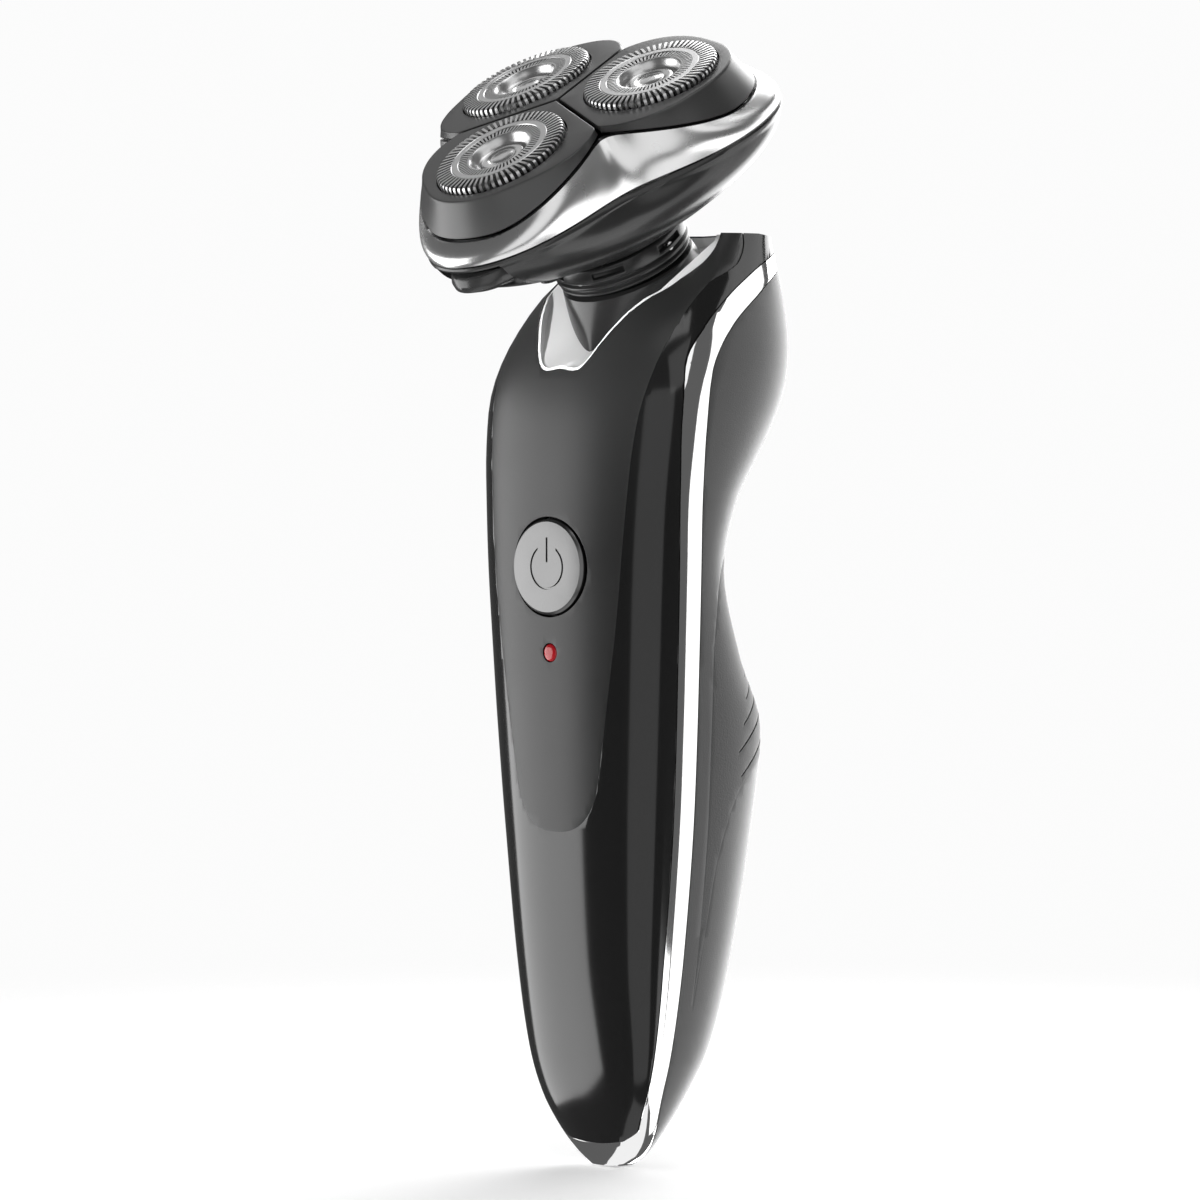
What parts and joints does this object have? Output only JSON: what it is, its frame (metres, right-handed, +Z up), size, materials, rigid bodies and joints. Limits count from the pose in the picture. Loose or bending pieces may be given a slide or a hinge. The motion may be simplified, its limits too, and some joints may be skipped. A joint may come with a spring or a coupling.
{
  "type": "rotary electric shaver",
  "caption": "Upright rotary electric shaver with a triangular floating head, round slotted cutters and a chrome-trimmed contoured handle.",
  "frame": {"origin": "mouth of the charging socket at the bottom tip of the handle", "axes": "+Z up the handle to the head, -Y the front with the button, +X to the right seen from behind the button side; symmetric about X = 0"},
  "size_m": [0.0568, 0.0614, 0.1663],
  "materials": {
    "satin_black": "satin moulded",
    "gloss_black": "piano gloss",
    "soft_grey": "soft-touch, slightly textured",
    "grip_rubber": "matte",
    "chrome": "mirror plated",
    "cutter_steel": "fine ground",
    "button_silver": "brushed",
    "gear_white": "plain moulded",
    "board_green": "lacquered circuit board",
    "brass": "stamped",
    "cell_wrap": "shrink wrap",
    "light_red": "translucent lens"
  },
  "bodies": {
    "handle": {"front_panel": "satin_black", "front_shell": "gloss_black", "chrome_trim": "chrome", "rear_shell": "soft_grey", "grip_insert": "grip_rubber", "top_deck": "chrome", "neck": "satin_black", "button_seal": "grip_rubber", "status_light": "light_red", "circuit_board": "board_green", "tact_switch": "gear_white", "chassis": "gear_white", "battery_cell": "cell_wrap", "battery_tab_lower": "brass", "battery_tab_upper": "brass", "charging_socket": "satin_black", "motor": "cutter_steel", "motor_bracket": "satin_black"},
    "button": {"power_button": "button_silver"},
    "drive": {"motor_shaft": "cutter_steel", "shaft_coupling": "gear_white", "drive_shaft": "cutter_steel"},
    "gimbal": {"neck_collar": "satin_black", "pitch_pin_left": "cutter_steel", "pitch_pin_right": "cutter_steel", "roll_pin_front": "cutter_steel", "roll_pin_rear": "cutter_steel"},
    "head": {"head_base": "satin_black", "gear_cover": "gear_white", "head_hinge_pin": "cutter_steel"},
    "latch": {"release_latch": "satin_black"},
    "sun": {"drive_gear": "gear_white"},
    "head_top": {"chrome_skirt": "chrome", "blade_frame": "satin_black"},
    "spindle_1": {"spindle_gear_1": "gear_white"},
    "petal_unit_1": {"petal_1": "satin_black", "guard_1": "cutter_steel", "guard_disc_1": "chrome"},
    "rotor_1": {"cutter_1": "cutter_steel"},
    "spindle_2": {"spindle_gear_2": "gear_white"},
    "petal_unit_2": {"petal_2": "satin_black", "guard_2": "cutter_steel", "guard_disc_2": "chrome"},
    "rotor_2": {"cutter_2": "cutter_steel"},
    "spindle_3": {"spindle_gear_3": "gear_white"},
    "petal_unit_3": {"petal_3": "satin_black", "guard_3": "cutter_steel", "guard_disc_3": "chrome"},
    "rotor_3": {"cutter_3": "cutter_steel"}
  },
  "joints": [
    {"name": "button_press", "type": "slide", "parent": "handle", "child": "button", "axis": [0, 1, 0], "range_m": [0, 0.0006], "stiffness_N_per_m": 600},
    {"name": "motor_turn", "type": "hinge", "parent": "handle", "child": "drive", "pos_m": [0, 0.00165, 0.1353], "axis": [0, -0.5299, 0.848], "continuous": true},
    {"name": "head_pitch", "type": "hinge", "parent": "handle", "child": "gimbal", "pos_m": [0, 0.00165, 0.1353], "axis": [1, 0, 0], "range_deg": [-4, 4], "stiffness_Nm_per_rad": 0.35},
    {"name": "head_roll", "type": "hinge", "parent": "gimbal", "child": "head", "pos_m": [0, 0.00165, 0.1353], "axis": [0, 0.848, 0.5299], "range_deg": [-4, 4], "stiffness_Nm_per_rad": 0.35},
    {"name": "latch_press", "type": "slide", "parent": "head", "child": "latch", "axis": [0, 0.848, 0.5299], "range_m": [0, 0.0008], "stiffness_N_per_m": 400},
    {"name": "sun_turn", "type": "hinge", "parent": "head", "child": "sun", "pos_m": [0, -0.00365, 0.14378], "axis": [0, -0.5299, 0.848], "continuous": true},
    {"name": "head_open", "type": "hinge", "parent": "head", "child": "head_top", "pos_m": [0, 0.01371, 0.16053], "axis": [-1, 0, 0], "range_deg": [0, 100]},
    {"name": "spindle_turn_1", "type": "hinge", "parent": "head", "child": "spindle_1", "pos_m": [0, -0.01748, 0.13868], "axis": [0, -0.5299, 0.848], "continuous": true},
    {"name": "spindle_turn_2", "type": "hinge", "parent": "head", "child": "spindle_2", "pos_m": [0.0125, 0.00088, 0.15015], "axis": [0, -0.5299, 0.848], "continuous": true},
    {"name": "spindle_turn_3", "type": "hinge", "parent": "head", "child": "spindle_3", "pos_m": [-0.0125, 0.00088, 0.15015], "axis": [0, -0.5299, 0.848], "continuous": true},
    {"name": "petal_tilt_1", "type": "hinge", "parent": "head_top", "child": "petal_unit_1", "pos_m": [0, -0.02149, 0.14562], "axis": [1, 0, 0], "range_deg": [-2, 2], "stiffness_Nm_per_rad": 0.12},
    {"name": "petal_tilt_2", "type": "hinge", "parent": "head_top", "child": "petal_unit_2", "pos_m": [0.01226, -0.00348, 0.15687], "axis": [-0.5, 0.7344, 0.4589], "range_deg": [-2, 2], "stiffness_Nm_per_rad": 0.12},
    {"name": "petal_tilt_3", "type": "hinge", "parent": "head_top", "child": "petal_unit_3", "pos_m": [-0.01226, -0.00348, 0.15687], "axis": [-0.5, -0.7344, -0.4589], "range_deg": [-2, 2], "stiffness_Nm_per_rad": 0.12},
    {"name": "cutter_turn_1", "type": "hinge", "parent": "petal_unit_1", "child": "rotor_1", "pos_m": [0, -0.02149, 0.14562], "axis": [0, -0.5878, 0.809], "continuous": true},
    {"name": "cutter_turn_2", "type": "hinge", "parent": "petal_unit_2", "child": "rotor_2", "pos_m": [0.01226, -0.00348, 0.15687], "axis": [0.0604, -0.499, 0.8645], "continuous": true},
    {"name": "cutter_turn_3", "type": "hinge", "parent": "petal_unit_3", "child": "rotor_3", "pos_m": [-0.01226, -0.00348, 0.15687], "axis": [-0.0604, -0.499, 0.8645], "continuous": true}
  ],
  "couplings": [
    {"joint": "sun_turn", "follows": "motor_turn", "ratio": 1},
    {"joint": "spindle_turn_1", "follows": "motor_turn", "ratio": -0.77778},
    {"joint": "cutter_turn_1", "follows": "motor_turn", "ratio": -0.77778},
    {"joint": "spindle_turn_2", "follows": "motor_turn", "ratio": -0.77778},
    {"joint": "cutter_turn_2", "follows": "motor_turn", "ratio": -0.77778},
    {"joint": "spindle_turn_3", "follows": "motor_turn", "ratio": -0.77778},
    {"joint": "cutter_turn_3", "follows": "motor_turn", "ratio": -0.77778}
  ]
}
